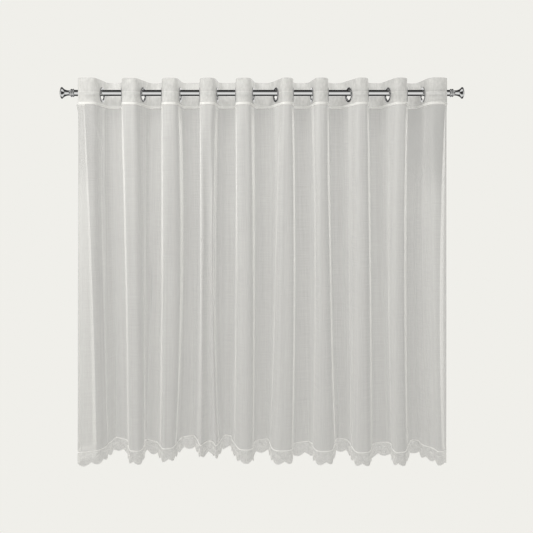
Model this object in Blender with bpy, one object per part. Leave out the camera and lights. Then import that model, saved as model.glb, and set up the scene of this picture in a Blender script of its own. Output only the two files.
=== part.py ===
"""A sheer eyelet curtain with a lace edge, hanging in soft folds on a round metal rod.

Metres, +Z up. The origin is the centre of the rod, +X runs along the rod to the right
as the room sees it, and the room is on the -Y side.
"""

import math
from typing import NamedTuple

import bmesh
import bpy
from mathutils import Matrix, Vector

# Rod and finials
ROD_RADIUS = 0.0125
ROD_LENGTH = 1.500
ROD_SIDES = 32
FINIAL_SIDES = 20

# Gap between pieces that meet
GAP = 0.0003

# Heights of the cloth's edges
HEADING_TOP = 0.050
HEADING_FOOT = -0.054
WELT_HEIGHT = 0.006
WELT_SLOPE = 0.002
HEM_Z = -1.410
LACE_NOTCH = 0.043
LACE_POINT = 0.055

# Thickness of each cloth
HEADING_THICK = 0.0020
WELT_THICK = 0.0034
PANEL_THICK = 0.0012
LACE_THICK = 0.0010

# The cloth's flat cut across the folds. The edge cloth lies outside the outermost eyelets
FLAT_WIDTH = 3.500
EDGE_CLOTH = 0.200
EYELET_COUNT = 18
EYELET_PITCH = (FLAT_WIDTH - 2 * EDGE_CLOTH) / (EYELET_COUNT - 1)

# Eyelets: the ring's radii, and the groove that grips the heading
EYELET_OUTER = 0.030
EYELET_INNER = 0.021
EYELET_BARREL = 0.0225
EYELET_HALF_GROOVE = HEADING_THICK / 2 + GAP
EYELET_RIM = 0.0013
EYELET_CROWN = 0.0036
EYELET_SIDES = 14
HOLE_RADIUS = EYELET_BARREL + 0.0004
EYELET_Z = ROD_RADIUS + GAP - EYELET_INNER * math.cos(math.pi / EYELET_SIDES)

# Shape of the folds
FLAT_HALF = 0.032
FLAT_HALF_HEM = 0.008
FULLNESS = 0.60
QUARTER_STEPS = 4
EDGE_STEPS = 3
PANEL_ROWS = 5
SCALLOPS = 64
SCALLOP_STEPS = 4
DENT_SHARPNESS = 4
SEARCH_STEPS = 30
SHARP_ANGLE = 40


class Flank(NamedTuple):
    """The cloth between a front and a back fold, where an eyelet sits. Slants in degrees."""

    x_top: float
    x_mid: float
    x_hem: float
    y_hem: float
    slant_top: float
    slant_hem: float


class Fold(NamedTuple):
    """The tip of one fold. The tilt is in degrees, and a dent pushes the tip back."""

    x_top: float
    x_hem: float
    y_hem: float
    tilt_hem: float
    dent_hem: float


class SideEdge(NamedTuple):
    """One end of the cloth: the outermost turn, and the free edge that returns behind it."""

    x_turn_top: float
    y_turn_top: float
    x_turn_hem: float
    y_turn_hem: float
    x_free_top: float
    x_free_mid: float
    x_free_hem: float
    y_free_top: float
    y_free_hem: float


class FinialRing(NamedTuple):
    """One ring of the finial's profile, measured outwards from the end of the rod."""

    along: float
    radius: float


FLANKS = [
    Flank(-0.640, -0.632, -0.618, 0.020, 7.0, 11.0),
    Flank(-0.560, -0.544, -0.536, 0.005, 11.0, 14.0),
    Flank(-0.476, -0.472, -0.472, 0.015, 13.0, -8.0),
    Flank(-0.400, -0.400, -0.408, 0.000, 8.0, 22.0),
    Flank(-0.328, -0.322, -0.346, 0.020, 3.0, 10.0),
    Flank(-0.248, -0.248, -0.258, 0.040, 5.0, 14.5),
    Flank(-0.180, -0.190, -0.175, 0.030, 4.0, 10.6),
    Flank(-0.104, -0.104, -0.112, 0.030, 2.0, 18.0),
    Flank(-0.036, -0.032, -0.035, -0.015, 8.0, 2.0),
    Flank(0.056, 0.052, 0.032, 0.025, 21.0, 6.3),
    Flank(0.124, 0.130, 0.122, -0.010, 2.5, 2.0),
    Flank(0.200, 0.212, 0.204, 0.000, 8.0, 1.5),
    Flank(0.264, 0.276, 0.294, 0.020, 5.4, 12.4),
    Flank(0.348, 0.352, 0.357, -0.010, 21.0, 6.0),
    Flank(0.424, 0.432, 0.436, -0.015, 8.6, 15.0),
    Flank(0.504, 0.504, 0.518, 0.000, 15.0, -8.0),
    Flank(0.580, 0.572, 0.579, -0.015, 11.7, 20.0),
    Flank(0.644, 0.644, 0.662, -0.012, 6.5, 45.0),
]

FOLDS = [
    Fold(-0.680, -0.694, -0.076, 20.0, 0.000),
    Fold(-0.608, -0.599, 0.090, -25.0, 0.000),
    Fold(-0.516, -0.495, -0.062, 0.0, 0.000),
    Fold(-0.440, -0.467, 0.068, -40.0, 0.000),
    Fold(-0.358, -0.375, -0.035, 5.0, 0.000),
    Fold(-0.290, -0.285, 0.115, 20.0, 0.000),
    Fold(-0.209, -0.212, -0.027, 0.0, 0.077),
    Fold(-0.144, -0.150, 0.118, -10.0, 0.000),
    Fold(-0.066, -0.063, -0.050, 0.0, 0.000),
    Fold(0.002, 0.018, 0.076, 25.0, 0.000),
    Fold(0.094, 0.076, -0.060, 0.0, 0.000),
    Fold(0.158, 0.191, 0.045, 20.0, 0.000),
    Fold(0.229, 0.236, -0.065, 0.0, 0.000),
    Fold(0.302, 0.311, 0.082, -20.0, 0.000),
    Fold(0.389, 0.395, -0.078, 0.0, 0.000),
    Fold(0.470, 0.503, 0.036, 15.0, 0.000),
    Fold(0.543, 0.523, -0.078, 5.0, 0.000),
    Fold(0.619, 0.624, 0.062, -15.0, 0.000),
    Fold(0.680, 0.693, -0.066, 0.0, 0.000),
]

END_REACH = -0.078
LEFT_EDGE = SideEdge(-0.7215, -0.045, -0.722, -0.058, -0.7060, -0.680, -0.666, -0.018, 0.016)
RIGHT_EDGE = SideEdge(0.7255, -0.045, 0.724, -0.045, 0.728, 0.708, 0.719, -0.018, -0.005)

FINIAL = [
    FinialRing(0.000, 0.0145),
    FinialRing(0.0035, 0.0165),
    FinialRing(0.0070, 0.0140),
    FinialRing(0.0105, 0.0165),
    FinialRing(0.0150, 0.0140),
    FinialRing(0.0190, 0.0105),
    FinialRing(0.0250, 0.0098),
    FinialRing(0.0370, 0.0130),
    FinialRing(0.0455, 0.0215),
    FinialRing(0.0480, 0.0235),
    FinialRing(0.0515, 0.0230),
    FinialRing(0.0545, 0.0150),
]
FINIAL_TIP = 0.0560


def blend(top, hem, t):
    """A value that runs evenly from the heading, t = 0, to the hem, t = 1."""
    return top + (hem - top) * t


def blend_three(top, mid, hem, t):
    """A value that passes through its middle one half way down."""
    return top * (1 - t) * (1 - 2 * t) + mid * 4 * t * (1 - t) + hem * t * (2 * t - 1)


def heading_of(degrees):
    """The direction in plan that turns back from +X by so many degrees."""
    angle = math.radians(degrees)
    return Vector((math.cos(angle), math.sin(angle)))


def curve(start, start_way, end, end_way, steps):
    """Points of a smooth bend, the first left out."""
    chord = end - start
    leave = start + start_way * (FULLNESS * abs(chord.dot(start_way)))
    arrive = end - end_way * (FULLNESS * abs(chord.dot(end_way)))
    points = []
    for step in range(1, steps + 1):
        u = step / steps
        v = 1 - u
        points.append(
            start * v**3 + leave * (3 * v * v * u) + arrive * (3 * v * u * u) + end * u**3
        )
    return points


def flank_at(index, t):
    """Centre, direction of travel and straight half length of one flank."""
    row = FLANKS[index]
    centre = Vector((blend_three(row.x_top, row.x_mid, row.x_hem, t), row.y_hem * t))
    slant = blend(row.slant_top, row.slant_hem, t)
    goes_back = index % 2 == 0
    way = heading_of(90 - slant if goes_back else slant - 90)
    return centre, way, blend(FLAT_HALF, FLAT_HALF_HEM, t)


def length_of(points):
    return sum((b - a).length for a, b in zip(points, points[1:]))


def turn_points(index, t, reach_top):
    """The fold between two flanks, with both straight ends."""
    row = FOLDS[index]
    start, start_way, half = flank_at(index - 1, t)
    end, end_way, _ = flank_at(index, t)
    tip = Vector((blend(row.x_top, row.x_hem, t), blend(reach_top, row.y_hem, t)))
    tip_way = heading_of(row.tilt_hem * t)
    first = start + start_way * half
    last = end - end_way * half
    bend = curve(first, start_way, tip, tip_way, QUARTER_STEPS)
    bend += curve(tip, tip_way, last, end_way, QUARTER_STEPS)
    for step, point in enumerate(bend):
        share = (step + 1) / len(bend)
        point.y += row.dent_hem * t * math.sin(math.pi * share) ** DENT_SHARPNESS
    return [first] + bend


def reach_for_pitch(index):
    """How far a fold reaches at the heading, so that it takes up one pitch of cloth."""
    side = -1 if index % 2 == 0 else 1
    near, far = FLAT_HALF, 3 * FLAT_HALF
    for _ in range(SEARCH_STEPS):
        middle = (near + far) / 2
        cloth = length_of(turn_points(index, 0, side * middle)) + 2 * FLAT_HALF
        if cloth < EYELET_PITCH:
            near = middle
        else:
            far = middle
    return side * near


REACHES = [END_REACH] + [reach_for_pitch(i) for i in range(1, len(FOLDS) - 1)] + [END_REACH]


def edge_points(row, fold, t):
    """The free edge, the outermost turn and the tip of the fold beside it."""
    free_x = blend_three(row.x_free_top, row.x_free_mid, row.x_free_hem, t)
    free = Vector((free_x, blend(row.y_free_top, row.y_free_hem, t)))
    turn_x = blend(row.x_turn_top, row.x_turn_hem, t)
    turn = Vector((turn_x, blend(row.y_turn_top, row.y_turn_hem, t)))
    tip = Vector((blend(fold.x_top, fold.x_hem, t), blend(END_REACH, fold.y_hem, t)))
    return free, turn, tip, heading_of(fold.tilt_hem * t)


def left_end(t):
    """From the free edge behind, round the outermost turn and the first fold's tip."""
    free, turn, tip, tip_way = edge_points(LEFT_EDGE, FOLDS[0], t)
    end, end_way, half = flank_at(0, t)
    forward = Vector((0, -1))
    points = [free]
    points += curve(free, (turn - free).normalized(), turn, forward, EDGE_STEPS)
    points += curve(turn, forward, tip, tip_way, EDGE_STEPS)
    points += curve(tip, tip_way, end - end_way * half, end_way, QUARTER_STEPS)
    return points


def right_end(t):
    """From the last flank round the last fold's tip and the outermost turn."""
    free, turn, tip, tip_way = edge_points(RIGHT_EDGE, FOLDS[-1], t)
    start, start_way, half = flank_at(len(FLANKS) - 1, t)
    first = start + start_way * half
    back = Vector((0, 1))
    points = [first]
    points += curve(first, start_way, tip, tip_way, QUARTER_STEPS)
    points += curve(tip, tip_way, turn, back, EDGE_STEPS)
    points += curve(turn, back, free, (free - turn).normalized(), EDGE_STEPS)
    return points


def section(t):
    """The whole cloth in plan, from its left free edge to its right one."""
    points = left_end(t)
    for index in range(1, len(FOLDS) - 1):
        points += turn_points(index, t, REACHES[index])
    return points + right_end(t)


def level(z):
    """How far down from the heading's foot a height lies, from 0 to 1 at the hem."""
    return min(1.0, max(0.0, (HEADING_FOOT - z) / (HEADING_FOOT - HEM_Z)))


def side_offsets(points):
    """For each point, the sideways step that keeps both walls of a sheet parallel."""
    ways = [(b - a).normalized() for a, b in zip(points, points[1:])]
    steps = []
    for index in range(len(points)):
        before = ways[max(index - 1, 0)]
        after = ways[min(index, len(ways) - 1)]
        middle = (before + after).normalized()
        stretch = 1 / middle.dot(before)
        steps.append(Vector((-middle.y, middle.x)) * stretch)
    return steps


def sheet_object(name, rows, material):
    """A closed sheet. Each row is a list of plan points, their heights, and a thickness."""
    mesh = bpy.data.meshes.new(name)
    bm = bmesh.new()
    walls = []
    for points, heights, thick in rows:
        steps = side_offsets(points)
        front = []
        back = []
        for point, step, z in zip(points, steps, heights):
            a = point - step * (thick / 2)
            b = point + step * (thick / 2)
            front.append(bm.verts.new((a.x, a.y, z)))
            back.append(bm.verts.new((b.x, b.y, z)))
        walls.append((front, back))
    columns = len(rows[0][0])
    for (front_a, back_a), (front_b, back_b) in zip(walls, walls[1:]):
        # Both walls split along the same diagonal, so that they can't cross where the cloth twists
        for i in range(columns - 1):
            bm.faces.new((front_a[i], front_a[i + 1], front_b[i + 1]))
            bm.faces.new((front_a[i], front_b[i + 1], front_b[i]))
            bm.faces.new((back_b[i + 1], back_a[i + 1], back_a[i]))
            bm.faces.new((back_b[i], back_b[i + 1], back_a[i]))
        for i, flip in ((0, False), (columns - 1, True)):
            edge = [front_a[i], back_a[i], back_b[i], front_b[i]]
            bm.faces.new(edge if flip else edge[::-1])
    for (front, back), flip in ((walls[0], False), (walls[-1], True)):
        for i in range(columns - 1):
            rim = [front[i], front[i + 1], back[i + 1], back[i]]
            bm.faces.new(rim if flip else rim[::-1])
    bmesh.ops.recalc_face_normals(bm, faces=bm.faces)
    bm.to_mesh(mesh)
    bm.free()
    return place(name, mesh, material)


def place(name, mesh, material):
    piece = bpy.data.objects.new(name, mesh)
    bpy.context.scene.collection.objects.link(piece)
    mesh.materials.append(material)
    return piece


def finish_material(name, colour, roughness, metallic):
    material = bpy.data.materials.new(name)
    material.use_nodes = True
    shader = material.node_tree.nodes["Principled BSDF"]
    shader.inputs["Base Color"].default_value = (*colour, 1.0)
    shader.inputs["Roughness"].default_value = roughness
    shader.inputs["Metallic"].default_value = metallic
    return material


def turned_mesh(name, profile, sides, closed):
    """Turns a profile of (along, radius) points about the X axis, a point upmost."""
    mesh = bpy.data.meshes.new(name)
    bm = bmesh.new()
    rings = []
    for along, radius in profile:
        if radius == 0:
            rings.append([bm.verts.new((along, 0, 0))])
            continue
        ring = []
        for side in range(sides):
            angle = 2 * math.pi * side / sides
            ring.append(
                bm.verts.new((along, radius * math.sin(angle), radius * math.cos(angle)))
            )
        rings.append(ring)
    pairs = list(zip(rings, rings[1:]))
    if closed:
        pairs.append((rings[-1], rings[0]))
    for a, b in pairs:
        for side in range(sides):
            after = (side + 1) % sides
            corners = [a[side % len(a)], a[after % len(a)], b[after % len(b)], b[side % len(b)]]
            bm.faces.new(list(dict.fromkeys(corners)))
    bmesh.ops.recalc_face_normals(bm, faces=bm.faces)
    bm.to_mesh(mesh)
    bm.free()
    mesh.shade_smooth()
    mesh.set_sharp_from_angle(angle=math.radians(SHARP_ANGLE))
    return mesh


def make_rod(material):
    half = ROD_LENGTH / 2
    profile = [(-half, 0), (-half, ROD_RADIUS), (half, ROD_RADIUS), (half, 0)]
    place("rod", turned_mesh("rod", profile, ROD_SIDES, False), material)


def make_finials(material):
    """Two turned trumpet ends, mirror images of each other."""
    root = ROD_LENGTH / 2 + GAP
    for name, side in (("finial_left", -1), ("finial_right", 1)):
        profile = [(side * root, 0)]
        profile += [(side * (root + ring.along), ring.radius) for ring in FINIAL]
        profile += [(side * (root + FINIAL_TIP), 0)]
        place(name, turned_mesh(name, profile, FINIAL_SIDES, False), material)


def eyelet_places():
    """Centre of each eyelet, with the turn about Z that lays it on its flank."""
    places = []
    for index in range(len(FLANKS)):
        centre, way, _ = flank_at(index, 0)
        across = math.atan2(way.y, way.x) + math.pi / 2
        places.append(
            Matrix.Translation((centre.x, centre.y, EYELET_Z)) @ Matrix.Rotation(across, 4, "Z")
        )
    return places


def make_eyelets(material):
    """Pressed rings: a barrel through the hole and a domed flange on each face."""
    groove = EYELET_HALF_GROOVE
    crown_radius = (EYELET_INNER + EYELET_OUTER) / 2
    profile = [
        (-groove, EYELET_BARREL),
        (-groove, EYELET_OUTER),
        (-EYELET_CROWN, crown_radius),
        (-groove - EYELET_RIM, EYELET_INNER),
        (groove + EYELET_RIM, EYELET_INNER),
        (EYELET_CROWN, crown_radius),
        (groove, EYELET_OUTER),
        (groove, EYELET_BARREL),
    ]
    mesh = turned_mesh("eyelet", profile, EYELET_SIDES, True)
    mesh.materials.append(material)
    for number, matrix in enumerate(eyelet_places(), start=1):
        piece = bpy.data.objects.new(f"eyelet_{number:02d}", mesh)
        bpy.context.scene.collection.objects.link(piece)
        piece.matrix_world = matrix


def make_heading(material):
    """The stiff band with a thicker welt along its foot and a hole at each eyelet."""
    points = section(0)
    welt_top = HEADING_FOOT + WELT_HEIGHT
    rows = [
        (points, [HEADING_FOOT] * len(points), WELT_THICK),
        (points, [welt_top] * len(points), WELT_THICK),
        (points, [welt_top + WELT_SLOPE] * len(points), HEADING_THICK),
        (points, [HEADING_TOP] * len(points), HEADING_THICK),
    ]
    heading = sheet_object("heading", rows, material)
    reach = 5 * HEADING_THICK
    punch = [(-reach, 0), (-reach, HOLE_RADIUS), (reach, HOLE_RADIUS), (reach, 0)]
    cutter_mesh = bpy.data.meshes.new("hole_cutter")
    bm = bmesh.new()
    for matrix in eyelet_places():
        one = turned_mesh("hole", punch, EYELET_SIDES, False)
        one.transform(matrix)
        bm.from_mesh(one)
        bpy.data.meshes.remove(one)
    bm.to_mesh(cutter_mesh)
    bm.free()
    cutter = bpy.data.objects.new("hole_cutter", cutter_mesh)
    bpy.context.scene.collection.objects.link(cutter)
    cutter.hide_render = True
    cutter.display_type = "WIRE"
    cut = heading.modifiers.new("holes", "BOOLEAN")
    cut.operation = "DIFFERENCE"
    cut.solver = "EXACT"
    cut.object = cutter


def make_panel(material):
    """The sheer cloth, from just under the heading down to its hem."""
    top = HEADING_FOOT - GAP
    rows = []
    for row in range(PANEL_ROWS):
        z = top + (HEM_Z - top) * row / (PANEL_ROWS - 1)
        points = section(level(z))
        rows.append((points, [z] * len(points), PANEL_THICK))
    sheet_object("panel", rows, material)


def even_points(points, count):
    """The same route with points an equal way apart."""
    total = length_of(points)
    wanted = [total * i / count for i in range(count + 1)]
    result = []
    walked = 0.0
    index = 0
    for distance in wanted:
        while index < len(points) - 2:
            span = (points[index + 1] - points[index]).length
            if walked + span >= distance:
                break
            walked += span
            index += 1
        span = (points[index + 1] - points[index]).length
        result.append(points[index].lerp(points[index + 1], min(1.0, (distance - walked) / span)))
    return result


def make_lace(material):
    """The lace trim: straight where it is sewn to the hem, and scalloped below."""
    points = even_points(section(1), SCALLOPS * SCALLOP_STEPS)
    top = HEM_Z - GAP
    foot = []
    for index in range(len(points)):
        share = (index % SCALLOP_STEPS) / SCALLOP_STEPS
        foot.append(top - blend(LACE_NOTCH, LACE_POINT, math.sin(math.pi * share)))
    rows = [(points, [top] * len(points), LACE_THICK), (points, foot, LACE_THICK)]
    sheet_object("lace", rows, material)


def main():
    for old in list(bpy.data.objects):
        bpy.data.objects.remove(old)
    chrome = finish_material("chrome", (0.72, 0.72, 0.72), 0.12, 1.0)
    band = finish_material("heading_cloth", (0.80, 0.80, 0.79), 0.85, 0.0)
    sheer = finish_material("sheer_cloth", (0.66, 0.66, 0.65), 0.80, 0.0)
    trim = finish_material("lace_trim", (0.82, 0.82, 0.80), 0.85, 0.0)
    make_rod(chrome)
    make_finials(chrome)
    make_eyelets(chrome)
    make_heading(band)
    make_panel(sheer)
    make_lace(trim)


main()
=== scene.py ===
"""Looks of the sheer eyelet curtain: fine cloth on the solids' folds, lace, chrome and light."""

import math
from typing import NamedTuple

import bmesh
import bpy
from mathutils import Matrix, Vector, noise


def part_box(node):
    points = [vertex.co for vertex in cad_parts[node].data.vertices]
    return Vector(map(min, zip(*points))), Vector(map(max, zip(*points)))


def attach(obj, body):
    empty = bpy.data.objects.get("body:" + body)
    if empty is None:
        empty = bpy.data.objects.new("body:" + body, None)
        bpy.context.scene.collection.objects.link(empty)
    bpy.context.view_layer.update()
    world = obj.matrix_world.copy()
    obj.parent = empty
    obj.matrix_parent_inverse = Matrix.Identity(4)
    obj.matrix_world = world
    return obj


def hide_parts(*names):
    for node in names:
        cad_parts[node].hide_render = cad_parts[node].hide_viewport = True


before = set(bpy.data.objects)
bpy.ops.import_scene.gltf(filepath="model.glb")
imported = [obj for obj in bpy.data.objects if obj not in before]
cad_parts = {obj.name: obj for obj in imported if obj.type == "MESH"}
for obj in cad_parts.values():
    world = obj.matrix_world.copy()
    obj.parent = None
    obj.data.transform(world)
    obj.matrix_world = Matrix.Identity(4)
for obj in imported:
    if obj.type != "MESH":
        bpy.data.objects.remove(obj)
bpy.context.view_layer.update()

# The photograph's camera. A pixel there is counted in a frame of 533 by 533
FRAME_SIDE = 533
CENTRE_COLUMN = 262
HORIZON_ROW = 190
CAMERA_DISTANCE = 2.8
CAMERA_HEIGHT = -0.388
FOCAL_PIXELS = 700
SENSOR = 36.0

# Sizes that the solids also have, in metres
ROD_RADIUS = 0.0125
ROD_LENGTH = 1.500
GAP = 0.0003
HEADING_TOP = 0.050
HEADING_FOOT = -0.054
HEM_Z = -1.410
LACE_NOTCH = 0.043
LACE_POINT = 0.055
HEADING_THICK = 0.0020
WELT_THICK = 0.0034
FLAT_WIDTH = 3.500
EDGE_CLOTH = 0.200
FLAT_HALF = 0.032
FLAT_HALF_HEM = 0.008
FULLNESS = 0.72
DENT_SHARPNESS = 4
END_REACH = -0.078
SCALLOPS = 64

# How finely the cloth is divided here
QUARTER_STEPS = 16
FLANK_STEPS = 34
EDGE_STEPS = 12
PANEL_ROWS = 72
SEARCH_STEPS = 24


class Flank(NamedTuple):
    """The cloth between a front and a back fold, where an eyelet sits. Slants in degrees."""

    x_top: float
    x_mid: float
    x_hem: float
    y_hem: float
    slant_top: float
    slant_hem: float


class Fold(NamedTuple):
    """The tip of one fold. The tilt is in degrees, and a dent pushes the tip back."""

    x_top: float
    x_hem: float
    y_hem: float
    tilt_hem: float
    dent_hem: float


class SideEdge(NamedTuple):
    """One end of the cloth: the outermost turn, and the free edge that returns behind it."""

    x_turn_top: float
    y_turn_top: float
    x_turn_hem: float
    y_turn_hem: float
    x_free_top: float
    x_free_mid: float
    x_free_hem: float
    y_free_top: float
    y_free_hem: float


class Ripple(NamedTuple):
    """A run of soft waves across the sheer cloth, in metres of flat cloth and turns."""

    length: float
    height: float
    phase: float
    drift: float


class Crease(NamedTuple):
    """A soft trough or ridge: which fold, where across it, and how it runs down."""

    fold: int
    share: float
    lean: float
    z_top: float
    z_foot: float
    width: float
    depth: float


FLANKS = [
    Flank(-0.640, -0.632, -0.618, 0.020, 7.0, 11.0),
    Flank(-0.560, -0.544, -0.536, 0.005, 11.0, 14.0),
    Flank(-0.476, -0.472, -0.472, 0.015, 13.0, -8.0),
    Flank(-0.400, -0.400, -0.408, 0.000, 8.0, 22.0),
    Flank(-0.328, -0.322, -0.346, 0.020, 3.0, 10.0),
    Flank(-0.248, -0.248, -0.258, 0.040, 5.0, 14.5),
    Flank(-0.180, -0.190, -0.175, 0.030, 4.0, 10.6),
    Flank(-0.104, -0.104, -0.112, 0.030, 2.0, 18.0),
    Flank(-0.036, -0.032, -0.035, -0.015, 8.0, 2.0),
    Flank(0.056, 0.052, 0.032, 0.025, 21.0, 6.3),
    Flank(0.124, 0.130, 0.122, -0.010, 2.5, 2.0),
    Flank(0.200, 0.212, 0.204, 0.000, 8.0, 1.5),
    Flank(0.264, 0.276, 0.294, 0.020, 5.4, 12.4),
    Flank(0.348, 0.352, 0.357, -0.010, 21.0, 6.0),
    Flank(0.424, 0.432, 0.436, -0.015, 8.6, 15.0),
    Flank(0.504, 0.504, 0.518, 0.000, 15.0, -8.0),
    Flank(0.580, 0.572, 0.579, -0.015, 11.7, 20.0),
    Flank(0.644, 0.644, 0.662, -0.012, 6.5, 45.0),
]

FOLDS = [
    Fold(-0.680, -0.694, -0.076, 20.0, 0.000),
    Fold(-0.608, -0.599, 0.090, -25.0, 0.000),
    Fold(-0.516, -0.495, -0.062, 0.0, 0.000),
    Fold(-0.440, -0.467, 0.068, -40.0, 0.000),
    Fold(-0.358, -0.375, -0.035, 5.0, 0.000),
    Fold(-0.290, -0.285, 0.115, 20.0, 0.000),
    Fold(-0.209, -0.212, -0.027, 0.0, 0.077),
    Fold(-0.144, -0.150, 0.118, -10.0, 0.000),
    Fold(-0.066, -0.063, -0.050, 0.0, 0.000),
    Fold(0.002, 0.018, 0.076, 25.0, 0.000),
    Fold(0.094, 0.076, -0.060, 0.0, 0.000),
    Fold(0.158, 0.191, 0.045, 20.0, 0.000),
    Fold(0.229, 0.236, -0.065, 0.0, 0.000),
    Fold(0.302, 0.311, 0.082, -20.0, 0.000),
    Fold(0.389, 0.395, -0.078, 0.0, 0.000),
    Fold(0.470, 0.503, 0.036, 15.0, 0.000),
    Fold(0.543, 0.523, -0.078, 5.0, 0.000),
    Fold(0.619, 0.624, 0.062, -15.0, 0.000),
    Fold(0.680, 0.693, -0.066, 0.0, 0.000),
]

LEFT_EDGE = SideEdge(-0.7215, -0.045, -0.722, -0.058, -0.7060, -0.680, -0.666, -0.018, 0.016)
RIGHT_EDGE = SideEdge(0.7255, -0.045, 0.724, -0.045, 0.728, 0.708, 0.719, -0.018, -0.005)

RIPPLES = [
    Ripple(0.047, 0.0011, 0.10, 0.35),
    Ripple(0.083, 0.0022, 0.80, 0.20),
]

# The fine gathers that crowd the cloth where it runs back beside each eyelet
GATHER_LENGTH = 0.0130
GATHER_HEIGHT = 0.0024
GATHER_SHIFT = 0.35
GATHER_SPAN = 1.35
GATHER_AT_HEM = 0.45
GATHER_SWAY = 0.6
GATHER_WANDER = 0.004
GATHER_SHARES = [
    0.7, 1.0, 0.6, 1.0, 1.7, 0.6, 0.8, 0.7, 1.6, 0.5, 1.6, 0.5, 1.6, 0.5, 1.6, 0.5, 1.6, 0.9,
]

CREASES = [
    Crease(0, 0.10, 0.700, -0.030, -0.260, 0.015, -0.0090),
    Crease(0, 0.76, 0.000, -0.120, -0.520, 0.014, 0.0060),
    Crease(1, 0.55, -0.010, -0.060, -0.600, 0.020, 0.0040),
    Crease(2, 0.30, 0.010, -0.056, -0.900, 0.022, -0.0050),
    Crease(3, 0.35, -0.020, -0.056, -0.700, 0.016, 0.0050),
    Crease(3, 0.72, 0.015, -0.200, -1.100, 0.018, -0.0035),
    Crease(4, 0.34, 0.030, -0.100, -0.750, 0.026, -0.0070),
    Crease(5, 0.42, 0.020, -0.056, -0.950, 0.022, 0.0065),
    Crease(6, 0.30, 0.010, -0.080, -0.800, 0.014, -0.0060),
    Crease(6, 0.62, -0.015, -0.056, -0.600, 0.010, 0.0040),
    Crease(7, 0.45, 0.030, -0.056, -0.520, 0.018, 0.0060),
    Crease(8, 0.32, 0.020, -0.056, -0.640, 0.024, -0.0075),
    Crease(9, 0.30, 0.020, -0.300, -1.300, 0.020, 0.0045),
    Crease(10, 0.30, -0.035, -0.120, -0.720, 0.020, -0.0065),
    Crease(11, 0.40, 0.010, -0.060, -0.500, 0.018, 0.0050),
    Crease(12, 0.38, 0.010, -0.056, -0.800, 0.026, -0.0070),
    Crease(13, 0.48, 0.010, -0.056, -1.300, 0.026, 0.0065),
    Crease(14, 0.32, 0.025, -0.056, -0.420, 0.020, -0.0060),
    Crease(15, 0.36, 0.010, -0.100, -1.200, 0.022, 0.0065),
    Crease(16, 0.40, -0.010, -0.300, -1.000, 0.018, -0.0035),
    Crease(17, 0.36, 0.020, -0.040, -0.640, 0.020, 0.0110),
    Crease(17, 0.66, 0.060, -0.900, -1.380, 0.014, 0.0045),
    Crease(18, 0.34, 0.080, -0.080, -0.560, 0.018, -0.0060),
    Crease(18, 0.70, -0.030, -0.056, -0.400, 0.014, 0.0050),
]


# Shape of the hanging cloth in plan


def blend(top, hem, t):
    """A value that runs evenly from the heading, t = 0, to the hem, t = 1."""
    return top + (hem - top) * t


def blend_three(top, mid, hem, t):
    """A value that passes through its middle one half way down."""
    return top * (1 - t) * (1 - 2 * t) + mid * 4 * t * (1 - t) + hem * t * (2 * t - 1)


def smooth(low, high, value):
    """Nothing below low, one above high, and an even slope between them."""
    share = min(1.0, max(0.0, (value - low) / (high - low)))
    return share * share * (3 - 2 * share)


def heading_of(degrees):
    """The direction in plan that turns back from +X by so many degrees."""
    angle = math.radians(degrees)
    return Vector((math.cos(angle), math.sin(angle)))


def curve(start, start_way, end, end_way, steps):
    """Points of a smooth bend, the first left out."""
    chord = end - start
    leave = start + start_way * (FULLNESS * abs(chord.dot(start_way)))
    arrive = end - end_way * (FULLNESS * abs(chord.dot(end_way)))
    points = []
    for step in range(1, steps + 1):
        u = step / steps
        v = 1 - u
        points.append(
            start * v**3 + leave * (3 * v * v * u) + arrive * (3 * v * u * u) + end * u**3
        )
    return points


def length_of(points):
    return sum((b - a).length for a, b in zip(points, points[1:]))


def flank_at(index, t):
    """Centre, direction of travel and straight half length of one flank."""
    row = FLANKS[index]
    centre = Vector((blend_three(row.x_top, row.x_mid, row.x_hem, t), row.y_hem * t))
    slant = blend(row.slant_top, row.slant_hem, t)
    goes_back = index % 2 == 0
    way = heading_of(90 - slant if goes_back else slant - 90)
    return centre, way, blend(FLAT_HALF, FLAT_HALF_HEM, t)


def bend_points(index, t, reach_top):
    """The fold between two flanks, from the end of one to the start of the next."""
    row = FOLDS[index]
    start, start_way, half = flank_at(index - 1, t)
    end, end_way, _ = flank_at(index, t)
    tip = Vector((blend(row.x_top, row.x_hem, t), blend(reach_top, row.y_hem, t)))
    tip_way = heading_of(row.tilt_hem * t)
    bend = curve(start + start_way * half, start_way, tip, tip_way, QUARTER_STEPS)
    bend += curve(tip, tip_way, end - end_way * half, end_way, QUARTER_STEPS)
    for step, point in enumerate(bend):
        share = (step + 1) / len(bend)
        point.y += row.dent_hem * t * math.sin(math.pi * share) ** DENT_SHARPNESS
    return bend


def reach_for_pitch(index):
    """How far a fold reaches at the heading, so that it takes up one pitch of cloth."""
    side = -1 if index % 2 == 0 else 1
    pitch = (FLAT_WIDTH - 2 * EDGE_CLOTH) / (len(FLANKS) - 1)
    start, way, half = flank_at(index - 1, 0)
    near, far = FLAT_HALF, 3 * FLAT_HALF
    for _ in range(SEARCH_STEPS):
        middle = (near + far) / 2
        bend = [start + way * half] + bend_points(index, 0, side * middle)
        if length_of(bend) + 2 * FLAT_HALF < pitch:
            near = middle
        else:
            far = middle
    return side * near


REACHES = [END_REACH] + [reach_for_pitch(i) for i in range(1, len(FOLDS) - 1)] + [END_REACH]


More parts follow.
